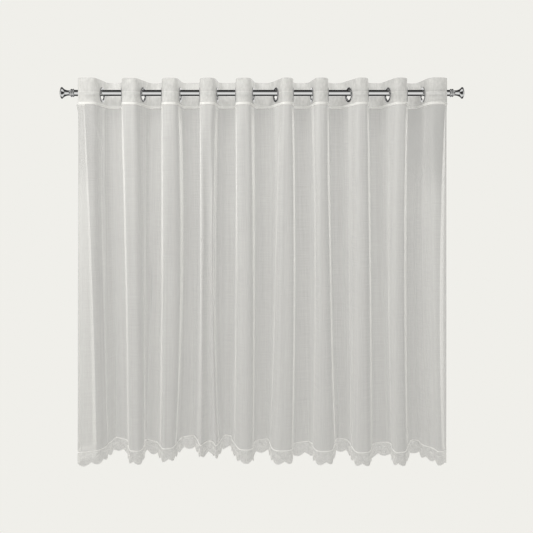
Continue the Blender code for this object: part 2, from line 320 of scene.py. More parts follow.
def edge_points(row, fold, t):
    """The free edge, the outermost turn and the tip of the fold beside it."""
    free_x = blend_three(row.x_free_top, row.x_free_mid, row.x_free_hem, t)
    free = Vector((free_x, blend(row.y_free_top, row.y_free_hem, t)))
    turn_x = blend(row.x_turn_top, row.x_turn_hem, t)
    turn = Vector((turn_x, blend(row.y_turn_top, row.y_turn_hem, t)))
    tip = Vector((blend(fold.x_top, fold.x_hem, t), blend(END_REACH, fold.y_hem, t)))
    return free, turn, tip, heading_of(fold.tilt_hem * t)


def section(t):
    """The whole cloth in plan, from its left free edge to its right one."""
    free, turn, tip, tip_way = edge_points(LEFT_EDGE, FOLDS[0], t)
    forward = Vector((0, -1))
    first, first_way, half = flank_at(0, t)
    points = [free]
    points += curve(free, (turn - free).normalized(), turn, forward, EDGE_STEPS)
    points += curve(turn, forward, tip, tip_way, EDGE_STEPS)
    points += curve(tip, tip_way, first - first_way * half, first_way, QUARTER_STEPS)
    for index in range(len(FLANKS)):
        centre, way, half = flank_at(index, t)
        for step in range(1, FLANK_STEPS + 1):
            points.append(centre + way * (half * (2 * step / FLANK_STEPS - 1)))
        if index < len(FLANKS) - 1:
            points += bend_points(index + 1, t, REACHES[index + 1])
    free, turn, tip, tip_way = edge_points(RIGHT_EDGE, FOLDS[-1], t)
    points += curve(points[-1], way, tip, tip_way, QUARTER_STEPS)
    points += curve(tip, tip_way, turn, -forward, EDGE_STEPS)
    points += curve(turn, -forward, free, (free - turn).normalized(), EDGE_STEPS)
    return points


def level(z):
    """How far down from the heading's foot a height lies, from 0 to 1 at the hem."""
    return min(1.0, max(0.0, (HEADING_FOOT - z) / (HEADING_FOOT - HEM_Z)))


def side_ways(points):
    """The sideways direction of a route at each of its points, pointing back from +X."""
    ways = []
    for index in range(len(points)):
        before = points[max(index - 1, 0)]
        after = points[min(index + 1, len(points) - 1)]
        along = (after - before).normalized()
        ways.append(Vector((-along.y, along.x)))
    return ways


def walked(points):
    """The way walked along a route to each of its points."""
    total = 0.0
    result = [0.0]
    for a, b in zip(points, points[1:]):
        total += (b - a).length
        result.append(total)
    return result


TOP_ROUTE = section(0)
TOP_WALKED = walked(TOP_ROUTE)
PITCH = (FLAT_WIDTH - 2 * EDGE_CLOTH) / (len(FLANKS) - 1)


def crease_offset(crease, across, z):
    """How far one crease moves the cloth at a place."""
    if not crease.z_foot <= z <= crease.z_top:
        return 0.0
    run = (crease.z_top - z) / (crease.z_top - crease.z_foot)
    centre = EDGE_CLOTH + (crease.fold - 1 + crease.share) * PITCH
    centre += crease.lean * (crease.z_top - z)
    distance = (across - centre) / crease.width
    fade = smooth(0.0, 0.15, run) * smooth(0.0, 0.30, 1 - run)
    return crease.depth * fade * math.exp(-distance * distance)


def gather_offset(across, z):
    """Fine upright gathers in the straight cloth of each flank."""
    index = round((across - EDGE_CLOTH) / PITCH)
    if not 0 <= index < len(FLANKS):
        return 0.0
    towards_front = GATHER_SHIFT if index % 2 == 0 else -GATHER_SHIFT
    share = ((across - EDGE_CLOTH - index * PITCH) / FLAT_HALF + towards_front) / GATHER_SPAN
    if abs(share) >= 1:
        return 0.0
    window = 1 - share**4
    shrunk = blend(1.0, GATHER_AT_HEM, level(z))
    sway = noise.noise(Vector((across * 30.0, z * 3.0, 4.0 + index)))
    turns = (across + GATHER_WANDER * sway) / GATHER_LENGTH
    height = GATHER_HEIGHT * GATHER_SHARES[index] * shrunk * window
    return height * (1 + GATHER_SWAY * sway) * math.sin(2 * math.pi * turns)


def cloth_offset(across, z):
    """How far soft ripples and creases move the sheer cloth sideways."""
    t = level(z)
    loose = smooth(0.0, 0.25, t)
    offset = 0.0
    for ripple in RIPPLES:
        turns = across / ripple.length + ripple.phase + ripple.drift * t
        patch = 0.5 + 0.8 * noise.noise(Vector((across * 4.0, z * 1.5, ripple.length * 90)))
        offset += ripple.height * loose * patch * math.sin(2 * math.pi * turns)
    for crease in CREASES:
        offset += crease_offset(crease, across, z)
    return offset + gather_offset(across, z)


def cloth_route(z):
    """The sheer cloth in plan at one height, ripples and creases included."""
    points = section(level(z))
    ways = side_ways(points)
    return [
        point + way * cloth_offset(across, z)
        for point, way, across in zip(points, ways, TOP_WALKED)
    ]


# Helpers for meshes


def make_object(name, mesh, material):
    piece = bpy.data.objects.new(name, mesh)
    bpy.context.scene.collection.objects.link(piece)
    if material is not None:
        mesh.materials.append(material)
    return piece


def mesh_from(name, points, faces, places=None):
    """A mesh with a UV map of each point's place on the flat cloth, in metres."""
    mesh = bpy.data.meshes.new(name)
    mesh.from_pydata([tuple(p) for p in points], [], faces)
    if places:
        layer = mesh.uv_layers.new(name="cloth")
        for loop in mesh.loops:
            layer.data[loop.index].uv = places[loop.vertex_index]
    mesh.update()
    mesh.shade_smooth()
    return mesh


def turned_mesh(name, profile, sides, closed=False):
    """Turns a profile of (along, radius) points about the X axis."""
    points = []
    rings = []
    for along, radius in profile:
        ring = []
        for side in range(sides if radius > 0 else 1):
            angle = 2 * math.pi * side / sides
            ring.append(len(points))
            points.append((along, radius * math.sin(angle), radius * math.cos(angle)))
        rings.append(ring)
    pairs = list(zip(rings, rings[1:]))
    if closed:
        pairs.append((rings[-1], rings[0]))
    faces = []
    for a, b in pairs:
        for side in range(sides):
            after = (side + 1) % sides
            corners = [a[side % len(a)], a[after % len(a)], b[after % len(b)], b[side % len(b)]]
            faces.append(list(dict.fromkeys(corners)))
    mesh = mesh_from(name, points, faces)
    bm = bmesh.new()
    bm.from_mesh(mesh)
    bmesh.ops.recalc_face_normals(bm, faces=bm.faces)
    bm.to_mesh(mesh)
    bm.free()
    mesh.set_sharp_from_angle(angle=math.radians(50))
    return mesh


# Materials


class Nodes:
    """A tree of shader nodes, with short calls for the ones used here."""

    def __init__(self, tree):
        self.tree = tree

    def new(self, kind):
        return self.tree.nodes.new(kind)

    def link(self, source, target):
        self.tree.links.new(source, target)

    def math(self, operation, first, second=None, clamp=False):
        node = self.new("ShaderNodeMath")
        node.operation = operation
        node.use_clamp = clamp
        for socket, value in zip(node.inputs, (first, second)):
            if value is None:
                continue
            if isinstance(value, (int, float)):
                socket.default_value = value
            else:
                self.link(value, socket)
        return node.outputs[0]

    def band(self, value, low, high):
        """Nought at low and one at high, which may be the lesser number."""
        node = self.new("ShaderNodeMapRange")
        node.interpolation_type = "SMOOTHSTEP"
        node.inputs["From Min"].default_value = low
        node.inputs["From Max"].default_value = high
        self.link(value, node.inputs["Value"])
        return node.outputs["Result"]

    def mix_colour(self, amount, first, second):
        """A colour between two, each one fixed or made by other nodes."""
        node = self.new("ShaderNodeMix")
        node.data_type = "RGBA"
        self.link(amount, node.inputs["Factor"])
        for name, value in (("A", first), ("B", second)):
            socket = [s for s in node.inputs if s.name == name and s.type == "RGBA"][0]
            if isinstance(value, tuple):
                socket.default_value = (*value, 1.0)
            else:
                self.link(value, socket)
        return [s for s in node.outputs if s.type == "RGBA"][0]


class Shader(Nodes):
    """A material's nodes."""

    def __init__(self, name, colour, roughness, metallic=0.0):
        self.material = bpy.data.materials.new(name)
        self.material.use_nodes = True
        super().__init__(self.material.node_tree)
        self.main = self.tree.nodes["Principled BSDF"]
        self.set("Base Color", (*colour, 1.0))
        self.set("Roughness", roughness)
        self.set("Metallic", metallic)

    def set(self, name, value):
        self.main.inputs[name].default_value = value

    def cloth_place(self):
        """The place on the flat cloth: across and down, in metres."""
        node = self.new("ShaderNodeUVMap")
        node.uv_map = "cloth"
        split = self.new("ShaderNodeSeparateXYZ")
        self.link(node.outputs["UV"], split.inputs[0])
        return split.outputs["X"], split.outputs["Y"]

    def noise(self, across, down, across_scale, down_scale, detail=2.0):
        """Noise that is stretched by its two scales, in waves to the metre."""
        join = self.new("ShaderNodeCombineXYZ")
        self.link(self.math("MULTIPLY", across, across_scale), join.inputs["X"])
        self.link(self.math("MULTIPLY", down, down_scale), join.inputs["Y"])
        node = self.new("ShaderNodeTexNoise")
        node.noise_dimensions = "2D"
        node.inputs["Scale"].default_value = 1.0
        node.inputs["Detail"].default_value = detail
        self.link(join.outputs[0], node.inputs["Vector"])
        return node.outputs["Fac"]

    def spread(self, value, amount):
        """Turns a noise value into one that lies about nought, times an amount."""
        return self.math("MULTIPLY", self.math("SUBTRACT", value, 0.5), amount)

    def bump(self, height, distance):
        node = self.new("ShaderNodeBump")
        node.inputs["Distance"].default_value = distance
        node.inputs["Strength"].default_value = 1.0
        self.link(height, node.inputs["Height"])
        self.link(node.outputs["Normal"], self.main.inputs["Normal"])


class Cloth(Shader):
    """Thin cloth: partly open, and partly lit through from behind."""

    def __init__(self, name, colour, roughness, passed):
        super().__init__(name, colour, roughness)
        self.across, self.down = self.cloth_place()
        self.lit_through = self.new("ShaderNodeBsdfTranslucent")
        self.lit_through.inputs["Color"].default_value = (*colour, 1.0)
        opening = self.new("ShaderNodeBsdfTransparent")
        both = self.new("ShaderNodeMixShader")
        both.inputs[0].default_value = passed
        self.link(self.main.outputs[0], both.inputs[1])
        self.link(self.lit_through.outputs[0], both.inputs[2])
        self.cover = self.new("ShaderNodeMixShader")
        self.link(opening.outputs[0], self.cover.inputs[1])
        self.link(both.outputs[0], self.cover.inputs[2])
        self.link(self.cover.outputs[0], self.tree.nodes["Material Output"].inputs["Surface"])
        self.set("Sheen Weight", 0.4)
        self.set("Sheen Roughness", 0.4)
        self.set("Specular IOR Level", 0.2)

    def dye(self, colour):
        """Both sides of the cloth take the same colour."""
        self.link(colour, self.main.inputs["Base Color"])
        self.link(colour, self.lit_through.inputs["Color"])

    def tint(self, amount, first, second):
        self.dye(self.mix_colour(amount, first, second))

    def covering(self, value):
        """How much of what is behind the cloth its threads hide."""
        self.link(self.math("ADD", value, 0.0, clamp=True), self.cover.inputs[0])

    def weave(self, warp_scale=1100.0, slub=14.0):
        """Fine upright and level threads, as two noise values."""
        warp = self.noise(self.across, self.down, warp_scale, slub, 1.0)
        weft = self.noise(self.across, self.down, slub, warp_scale, 1.0)
        return warp, weft

    def strip(self, value, low, high, soft=0.0006):
        """One between two values, nought outside them."""
        above = self.band(value, low - soft, low + soft)
        below = self.band(value, high + soft, high - soft)
        return self.math("MULTIPLY", above, below)


class ShadeCorner(NamedTuple):
    """An upper corner of painted shade, where the cloth is made more open so it shows darker: from
    and to where across, and by how much.
    """

    start: float
    full: float
    less: float


SHEER_COVER = 0.38
SIDE_HEM = 0.030
HEM_SOFT = 0.0008
ROLLED_COVER = 0.42
# Partly painted light: the hems are doubled cloth, but the right one is made far denser than the
# left, brightening the right end where the key leaves it dark
RIGHT_HEM_COVER = 0.45
LEFT_HEM_COVER = 0.02
# Painted shade in the upper corners of the sheer cloth
SHADE_CORNERS = [ShadeCorner(0.145, 0.085, 0.13), ShadeCorner(3.07, 3.16, 0.15)]
SHADE_CORNER_FOOT = -0.42
SHADE_CORNER_TOP = -0.16
SEAM_INSET = 0.0015
WELT_TOP = HEADING_FOOT + 0.0095
# Where the painted highlight runs across the heading, in height
HIGHLIGHT_LOW = -0.0060
HIGHLIGHT_HIGH = -0.0020
STITCH_PITCH = 0.0028


def stitches(cloth, value, centre, along):
    """A line of short stitches at one value of one direction, running along the other."""
    line = cloth.strip(value, centre - 0.0004, centre + 0.0004, 0.0002)
    turns = cloth.math("FRACT", cloth.math("MULTIPLY", along, 1.0 / STITCH_PITCH))
    dash = cloth.strip(turns, 0.15, 0.85, 0.08)
    return cloth.math("MULTIPLY", line, dash)


def sheer_material():
    """Fine voile: mostly open, with upright streaks where the threads crowd."""
    cloth = Cloth("sheer_cloth", (0.86, 0.86, 0.85), 0.75, 0.25)
    across, down = cloth.across, cloth.down
    streaks = cloth.noise(across, down, 60.0, 0.9, 2.0)
    broad = cloth.noise(across, down, 13.0, 0.9, 2.0)
    cloudy = cloth.noise(across, down, 9.0, 5.0, 3.0)
    warp, weft = cloth.weave()
    cover = cloth.math("ADD", cloth.spread(streaks, 0.09), SHEER_COVER)
    for value, amount in ((broad, 0.12), (cloudy, 0.06), (warp, 0.08), (weft, 0.08)):
        cover = cloth.math("ADD", cover, cloth.spread(value, amount))
    left = cloth.band(across, SIDE_HEM + HEM_SOFT, SIDE_HEM - HEM_SOFT)
    right_start = FLAT_WIDTH - SIDE_HEM
    right = cloth.band(across, right_start - HEM_SOFT, right_start + HEM_SOFT)
    rolled = cloth.band(across, 0.0065, 0.0045)
    hems = cloth.math("MULTIPLY", rolled, ROLLED_COVER)
    for hem, more in ((right, RIGHT_HEM_COVER), (left, LEFT_HEM_COVER)):
        hems = cloth.math("MAXIMUM", hems, cloth.math("MULTIPLY", hem, more))
    cover = cloth.math("ADD", cover, hems)
    # Painted shade: the upper corners are made more open so the grey behind darkens them
    upper = cloth.band(down, SHADE_CORNER_FOOT, SHADE_CORNER_TOP)
    for corner in SHADE_CORNERS:
        share = cloth.math("MULTIPLY", cloth.band(across, corner.start, corner.full), upper)
        cover = cloth.math("SUBTRACT", cover, cloth.math("MULTIPLY", share, corner.less))
    seams = cloth.math(
        "MAXIMUM",
        stitches(cloth, across, SIDE_HEM - SEAM_INSET, down),
        stitches(cloth, across, right_start + SEAM_INSET, down),
    )
    cover = cloth.math("ADD", cover, cloth.math("MULTIPLY", seams, 0.3))
    cloth.covering(cover)
    cloth.tint(broad, (0.89, 0.89, 0.88), (0.82, 0.82, 0.81))
    threads = cloth.math("ADD", warp, weft)
    cloth.bump(cloth.math("ADD", threads, cloth.math("MULTIPLY", seams, 2.0)), 0.0002)
    return cloth.material


def heading_material():
    """Doubled cloth over a stiff tape: nearly opaque, with a whiter welt at its foot and a painted
    highlight, a whiter line across it at the rod's centre height.
    """
    cloth = Cloth("heading_cloth", (0.80, 0.80, 0.79), 0.8, 0.60)
    across, down = cloth.across, cloth.down
    broad = cloth.noise(across, down, 26.0, 20.0, 3.0)
    fine = cloth.noise(across, down, 120.0, 60.0, 2.0)
    warp, weft = cloth.weave()
    mottle = cloth.math("ADD", broad, cloth.spread(fine, 0.5))
    welt = cloth.band(down, WELT_TOP + 0.0004, WELT_TOP - 0.0004)
    plain = cloth.mix_colour(mottle, (0.70, 0.70, 0.69), (0.86, 0.86, 0.85))
    # Painted highlight: a whiter line across the heading at the rod's centre height
    painted_highlight = cloth.math("MULTIPLY", cloth.strip(down, HIGHLIGHT_LOW, HIGHLIGHT_HIGH, 0.0010), 0.6)
    plain = cloth.mix_colour(painted_highlight, plain, (0.95, 0.95, 0.94))
    cloth.dye(cloth.mix_colour(welt, plain, (0.90, 0.90, 0.89)))
    cover = cloth.math("ADD", cloth.spread(mottle, 0.24), 0.60)
    cloth.covering(cloth.math("MAXIMUM", cover, welt))
    seams = cloth.math(
        "MAXIMUM",
        stitches(cloth, down, WELT_TOP - 0.0010, across),
        stitches(cloth, down, HEADING_TOP - 0.0030, across),
    )
    threads = cloth.math("MULTIPLY", cloth.math("ADD", warp, weft), 0.5)
    height = cloth.math("SUBTRACT", cloth.math("ADD", threads, broad), seams)
    cloth.bump(height, 0.0004)
    return cloth.material


def seam_material():
    """The close white stitching along the hem."""
    cloth = Cloth("seam_thread", (0.94, 0.94, 0.93), 0.8, 0.30)
    twist = cloth.noise(cloth.across, cloth.down, 500.0, 300.0, 2.0)
    cloth.tint(twist, (0.90, 0.90, 0.89), (0.97, 0.97, 0.96))
    cloth.covering(cloth.math("ADD", cloth.spread(twist, 0.2), 0.80))
    cloth.bump(twist, 0.0004)
    return cloth.material


NET_PITCH = 0.0024


def lace_ground_material():
    """Fine net: crossed slanting threads with small openings."""
    cloth = Cloth("lace_ground", (0.84, 0.84, 0.83), 0.8, 0.45)
    across, down = cloth.across, cloth.down
    rising = cloth.math("MULTIPLY", cloth.math("ADD", across, down), 1.0 / NET_PITCH)
    falling = cloth.math("MULTIPLY", cloth.math("SUBTRACT", across, down), 1.0 / NET_PITCH)
    first = cloth.strip(cloth.math("FRACT", rising), 0.0, 0.26, 0.06)
    second = cloth.strip(cloth.math("FRACT", falling), 0.0, 0.26, 0.06)
    net = cloth.math("MAXIMUM", first, second)
    patchy = cloth.noise(across, down, 60.0, 60.0, 2.0)
    cover = cloth.math("ADD", cloth.math("MULTIPLY", net, 0.38), 0.31)
    cloth.covering(cloth.math("ADD", cover, cloth.spread(patchy, 0.16)))
    cloth.tint(patchy, (0.90, 0.90, 0.89), (0.98, 0.98, 0.97))
    cloth.bump(net, 0.0003)
    return cloth.material


def lace_thread_material():
    """The thicker thread that draws the pattern on the net."""
    cloth = Cloth("lace_thread", (0.90, 0.90, 0.89), 0.75, 0.30)
    twist = cloth.noise(cloth.across, cloth.down, 900.0, 900.0, 2.0)
    cloth.tint(twist, (0.93, 0.93, 0.92), (0.99, 0.99, 0.98))
    cloth.covering(cloth.math("ADD", cloth.spread(twist, 0.2), 0.70))
    cloth.bump(twist, 0.0003)
    return cloth.material


def chrome_material():
    """Bright plated metal with a faint lengthwise haze."""
    shader = Shader("chrome", (0.74, 0.74, 0.73), 0.10, 1.0)
    place = shader.new("ShaderNodeTexCoord")
    stretch = shader.new("ShaderNodeMapping")
    stretch.inputs["Scale"].default_value = (6.0, 260.0, 260.0)
    haze = shader.new("ShaderNodeTexNoise")
    haze.inputs["Scale"].default_value = 1.0
    shader.link(place.outputs["Object"], stretch.inputs["Vector"])
    shader.link(stretch.outputs["Vector"], haze.inputs["Vector"])
    rough = shader.math("ADD", shader.spread(haze.outputs["Fac"], 0.05), 0.09)
    shader.link(rough, shader.main.inputs["Roughness"])
    return shader.material


# Cloth pieces


def make_panel(material):
    """The sheer cloth on its folds, as one thin sheet."""
    top = HEADING_FOOT - GAP
    points = []
    places = []
    for row in range(PANEL_ROWS + 1):
        z = top + (HEM_Z - top) * row / PANEL_ROWS
        for point, across in zip(cloth_route(z), TOP_WALKED):
            points.append((point.x, point.y, z))
            places.append((across, z - top))
    columns = len(TOP_ROUTE)
    faces = []
    for row in range(PANEL_ROWS):
        for column in range(columns - 1):
            a = row * columns + column
            faces.append((a, a + columns, a + columns + 1, a + 1))
    return make_object("sheer_panel", mesh_from("sheer_panel", points, faces, places), material)


class BandRow(NamedTuple):
    """One height of a thick band, and how thick the band is there."""

    z: float
    thick: float


def closed_band(name, route, rows, material):
    """A closed strip along a route in plan, from rows of heights and thicknesses."""
    ways = side_ways(route)
    points = []
    places = []
    for row in rows:
        for side in (-1, 1):
            for point, way, across in zip(route, ways, TOP_WALKED):
                moved = point + way * (side * row.thick / 2)
                points.append((moved.x, moved.y, row.z))
                places.append((across, row.z))
    faces = []

    def add_face(*corners):
        faces.append([(row * 2 + side) * len(route) + column for row, side, column in corners])

    top = len(rows) - 1
    end = len(route) - 1
    for row in range(top):
        above = row + 1
        for column in range(end):
            after = column + 1
            add_face((row, 0, column), (row, 0, after), (above, 0, after), (above, 0, column))
            add_face((row, 1, after), (row, 1, column), (above, 1, column), (above, 1, after))
        add_face((row, 1, 0), (row, 0, 0), (above, 0, 0), (above, 1, 0))
        add_face((row, 0, end), (row, 1, end), (above, 1, end), (above, 0, end))
    for column in range(end):
        after = column + 1
        add_face((0, 1, column), (0, 1, after), (0, 0, after), (0, 0, column))
        add_face((top, 0, column), (top, 0, after), (top, 1, after), (top, 1, column))
    mesh = mesh_from(name, points, faces, places)
    mesh.set_sharp_from_angle(angle=math.radians(60))
    return make_object(name, mesh, material)


def eyelet_matrix(index):
    """Where a ring sits: its CAD solid's centre, turned square to its flank."""
    low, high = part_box(f"eyelet_{index + 1:02d}")
    _, way, _ = flank_at(index, 0)
    across = math.atan2(way.y, way.x) + math.pi / 2
    return Matrix.Translation((low + high) / 2) @ Matrix.Rotation(across, 4, "Z")


HOLE_RADIUS = 0.0229
HOLE_SIDES = 40
PUNCH_REACH = 0.012
BAND_ROWS = 14
BAND_START = 0.0125
BAND_END = 0.002

# The welt's thickness at each height above the heading's foot
WELT_PROFILE = [
    (0.0000, 0.0016),
    (0.0006, 0.0030),
    (0.0020, WELT_THICK),
    (0.0075, WELT_THICK),
    (0.0089, 0.0030),
    (0.0095, 0.0020),
    (0.0105, 0.0018),
]


def make_heading(material):
    """The stiff band, its welt and its holes."""
    rows = [BandRow(HEADING_FOOT + rise, thick) for rise, thick in WELT_PROFILE]
    low = HEADING_FOOT + BAND_START
    high = HEADING_TOP - BAND_END
    for step in range(BAND_ROWS + 1):
        rows.append(BandRow(low + (high - low) * step / BAND_ROWS, HEADING_THICK))
    rows += [BandRow(HEADING_TOP - 0.0006, 0.0017), BandRow(HEADING_TOP, 0.0008)]
    heading = closed_band("heading_band", TOP_ROUTE, rows, material)
    punch = [(-PUNCH_REACH, 0), (-PUNCH_REACH, HOLE_RADIUS)]
    punch += [(-along, radius) for along, radius in reversed(punch)]
    bm = bmesh.new()
    for index in range(len(FLANKS)):
        one = turned_mesh("hole", punch, HOLE_SIDES)
        one.transform(eyelet_matrix(index))
        bm.from_mesh(one)
        bpy.data.meshes.remove(one)
    cutter_mesh = bpy.data.meshes.new("hole_cutter")
    bm.to_mesh(cutter_mesh)
    bm.free()
    cutter = make_object("hole_cutter", cutter_mesh, None)
    cut = heading.modifiers.new("holes", "BOOLEAN")
    cut.operation = "DIFFERENCE"
    cut.solver = "EXACT"
    cut.object = cutter
    depsgraph = bpy.context.evaluated_depsgraph_get()
    cut_mesh = bpy.data.meshes.new_from_object(heading.evaluated_get(depsgraph))
    heading.modifiers.clear()
    heading.data = cut_mesh
    bpy.data.objects.remove(cutter)
    return heading


def make_hem_seam(material):
    """The stitched line that joins the lace to the hem, a low rounded rib."""
    rows = [
        BandRow(HEM_Z - 0.0020, 0.0006),
        BandRow(HEM_Z - 0.0012, 0.0018),
        BandRow(HEM_Z + 0.0012, 0.0018),
        BandRow(HEM_Z + 0.0020, 0.0006),
    ]
    return closed_band("hem_seam", cloth_route(HEM_Z), rows, material)


def even_route(points, count):
    """The same route with its points an equal way apart."""
    distances = walked(points)
    total = distances[-1]
    result = []
    index = 0
    for i in range(count + 1):
        distance = total * i / count
        while index < len(points) - 2 and distances[index + 1] < distance:
            index += 1
        span = distances[index + 1] - distances[index]
        share = min(1.0, (distance - distances[index]) / span)
        result.append(points[index].lerp(points[index + 1], share))
    return result


LACE_COLUMNS = 16
LACE_ROWS = 10
LACE_BORDER = 0.0070
PICOT = 0.0022
CORD = 0.00045
FAN_RIBS = 5
LEAF_SIDE = 0.36


def scallop_depth(share):
    """The lace's height at one place of a scallop, from notch to point and back."""
    return blend(LACE_NOTCH, LACE_POINT, math.sin(math.pi * share))


class LaceCloth:
    """The lace laid on the hem's folds: from a place on the flat lace to one in space."""

    def __init__(self):
        count = SCALLOPS * LACE_COLUMNS
        self.route = even_route(cloth_route(HEM_Z), count)
        self.ways = side_ways(self.route)
        self.top = HEM_Z - GAP

    def at(self, scallops, drop, lift=0.0):
        """The place so many scallops along, so far below the hem and off the cloth."""
        step = min(max(scallops * LACE_COLUMNS, 0.0), len(self.route) - 1.001)
        index = int(step)
        point = self.route[index].lerp(self.route[index + 1], step - index)
        way = self.ways[index].lerp(self.ways[index + 1], step - index)
        moved = point - way * lift
        return Vector((moved.x, moved.y, self.top - drop))


def make_lace_ground(cloth, material):
    """The net itself, cut to scallops, with small points along its edge."""
    points = []
    places = []
    faces = []
    columns = SCALLOPS * LACE_COLUMNS
    for column in range(columns + 1):
        share = (column % LACE_COLUMNS) / LACE_COLUMNS
        depth = scallop_depth(share) - PICOT
        if column % 2:
            depth += PICOT
        for row in range(LACE_ROWS + 1):
            drop = depth * row / LACE_ROWS
            points.append(cloth.at(column / LACE_COLUMNS, drop))
            places.append((column * FLAT_WIDTH / columns, drop))
    height = LACE_ROWS + 1
    for column in range(columns):
        for row in range(LACE_ROWS):
            a = column * height + row
            faces.append((a, a + 1, a + height + 1, a + height))
    return make_object("lace_net", mesh_from("lace_net", points, faces, places), material)


def lace_lines():
    """The pattern's lines in one scallop, as lists of (share, drop), and how thick each is."""
    turn = [step / 12 for step in range(13)]
    lines = [([(u, scallop_depth(u) - 0.0034) for u in turn], 1.5)]
    lines.append(([(u, scallop_depth(u) - LACE_BORDER - 0.0030) for u in turn], 1.1))
    lines.append(([(u, 0.0050 + 0.0016 * math.sin(2 * math.pi * u)) for u in turn], 1.0))
    fan_top = 0.016
    for rib in range(FAN_RIBS):
        lean = (rib - (FAN_RIBS - 1) / 2) * 0.16
        foot = 0.5 + lean
        reach = scallop_depth(foot) - LACE_BORDER - 0.0035
        bend = []
        for step in range(5):
            v = step / 4
            bend.append((0.5 + lean * v**0.8, fan_top + (reach - fan_top) * v))
        lines.append((bend, 1.0))
    arch = []
    for step in range(9):
        angle = math.pi * step / 8
        arch.append((0.5 - 0.20 * math.cos(angle), 0.0245 - 0.0070 * math.sin(angle)))
    lines.append((arch, 1.1))
    for side in (-1, 1):
        leaf = []
        for step in range(9):
            angle = 2 * math.pi * step / 8
            reach = 0.0065 * (1 - 0.35 * math.cos(angle))
            across = 0.5 + side * (LEAF_SIDE + 0.060 * math.sin(angle))
            leaf.append((across, 0.022 + reach * math.cos(angle)))
        lines.append((leaf, 0.9))
    return lines


def add_cord(bm, layer, cloth, start, line, radius):
    """A thread of four sides along a line on the lace."""
    rings = []
    for index, (share, drop) in enumerate(line):
        before = line[max(index - 1, 0)]
        after = line[min(index + 1, len(line) - 1)]
        pitch = FLAT_WIDTH / SCALLOPS
        way = Vector(((after[0] - before[0]) * pitch, after[1] - before[1])).normalized()
        side = Vector((-way.y / pitch, way.x)) * radius
        place = start + share
        ring = [
            bm.verts.new(cloth.at(place + side.x, drop + side.y)),
            bm.verts.new(cloth.at(place, drop, radius)),
            bm.verts.new(cloth.at(place - side.x, drop - side.y)),
            bm.verts.new(cloth.at(place, drop, -radius)),
        ]
        rings.append((ring, (place * pitch, drop)))
    for (a, place_a), (b, place_b) in zip(rings, rings[1:]):
        for i in range(4):
            j = (i + 1) % 4
            face = bm.faces.new((a[i], a[j], b[j], b[i]))
            for loop, place in zip(face.loops, (place_a, place_a, place_b, place_b)):
                loop[layer].uv = place
    bm.faces.new(rings[0][0])
    bm.faces.new(rings[-1][0][::-1])


def make_lace_pattern(cloth, material):
    """The raised threads: edge cords, a fan in each scallop, and small loops."""
    bm = bmesh.new()
    layer = bm.loops.layers.uv.new("cloth")
    lines = lace_lines()
    for scallop in range(SCALLOPS):
        for line, weight in lines:
            add_cord(bm, layer, cloth, scallop, line, CORD * weight)
    bmesh.ops.recalc_face_normals(bm, faces=bm.faces)
    mesh = bpy.data.meshes.new("lace_threads")
    bm.to_mesh(mesh)
    bm.free()
    mesh.shade_smooth()
    return make_object("lace_threads", mesh, material)


# Metal pieces


def make_ring_mesh(material):
    """A stamped eyelet: two domed flanges and the barrel between them."""
    groove = HEADING_THICK / 2 + GAP
    inner = 0.0206
    outer = 0.0300
    barrel = 0.0225
    crown = 0.0016
    steps = 10
    half = []
    for step in range(steps + 1):
        angle = math.pi * step / steps
        radius = (inner + outer) / 2 + (outer - inner) / 2 * math.cos(angle)
        half.append((groove + 0.0003 + crown * math.sin(angle) ** 0.8, radius))
    profile = [(groove, barrel), (groove, outer - 0.0004)] + half
    profile += [(-along, radius) for along, radius in reversed(profile)]
    mesh = turned_mesh("ring", profile, 64, closed=True)
    mesh.materials.append(material)
    return mesh


def make_rings(material):
    mesh = make_ring_mesh(material)
    rings = []
    for index in range(len(FLANKS)):
        name = f"ring_{index + 1:02d}"
        ring = bpy.data.objects.new(name, mesh.copy())
        bpy.context.scene.collection.objects.link(ring)
        ring.data.transform(eyelet_matrix(index))
        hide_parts(f"eyelet_{index + 1:02d}")
        rings.append(ring)
    return rings


def make_rod(material):
    half = ROD_LENGTH / 2
    edge = 0.0006
    profile = [(-half, 0), (-half, ROD_RADIUS - edge), (-half + edge, ROD_RADIUS)]
    profile += [(-half + 4 * edge, ROD_RADIUS)]
    profile += [(-along, radius) for along, radius in reversed(profile)]
    rod = make_object("chrome_rod", turned_mesh("chrome_rod", profile, 96), material)
    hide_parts("rod")
    return rod


class FinialRing(NamedTuple):
    """One ring of the finial's profile, measured outwards from the end of the rod."""

    along: float
    radius: float


FINIAL = [
    FinialRing(0.0000, 0.0135),
    FinialRing(0.0008, 0.0150),
    FinialRing(0.0022, 0.0162),
    FinialRing(0.0035, 0.0165),
    FinialRing(0.0050, 0.0160),
    FinialRing(0.0063, 0.0142),
    FinialRing(0.0070, 0.0128),
    FinialRing(0.0077, 0.0142),
    FinialRing(0.0090, 0.0160),
    FinialRing(0.0105, 0.0165),
    FinialRing(0.0120, 0.0162),
    FinialRing(0.0135, 0.0152),
    FinialRing(0.0148, 0.0138),
    FinialRing(0.0160, 0.0121),
    FinialRing(0.0185, 0.0111),
    FinialRing(0.0225, 0.0107),
    FinialRing(0.0265, 0.0109),
    FinialRing(0.0310, 0.0117),
    FinialRing(0.0355, 0.0133),
    FinialRing(0.0395, 0.0152),
    FinialRing(0.0430, 0.0184),
    FinialRing(0.0455, 0.0212),
    FinialRing(0.0472, 0.0229),
    FinialRing(0.0484, 0.0234),
    FinialRing(0.0500, 0.0235),
    FinialRing(0.0514, 0.0231),
    FinialRing(0.0524, 0.0219),
    FinialRing(0.0535, 0.0190),
    FinialRing(0.0547, 0.0140),
    FinialRing(0.0556, 0.0075),
    FinialRing(0.0560, 0.0000),
]


def make_finials(material):
    root = ROD_LENGTH / 2 + GAP
    pieces = []
    for word, side in (("left", -1), ("right", 1)):
        profile = [(side * root, 0)]
        profile += [(side * (root + ring.along), ring.radius) for ring in FINIAL]
        name = f"turned_finial_{word}"
        piece = make_object(name, turned_mesh(name, profile, 64), material)
        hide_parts(f"finial_{word}")
        pieces.append(piece)
    return pieces


# Floor, light and camera


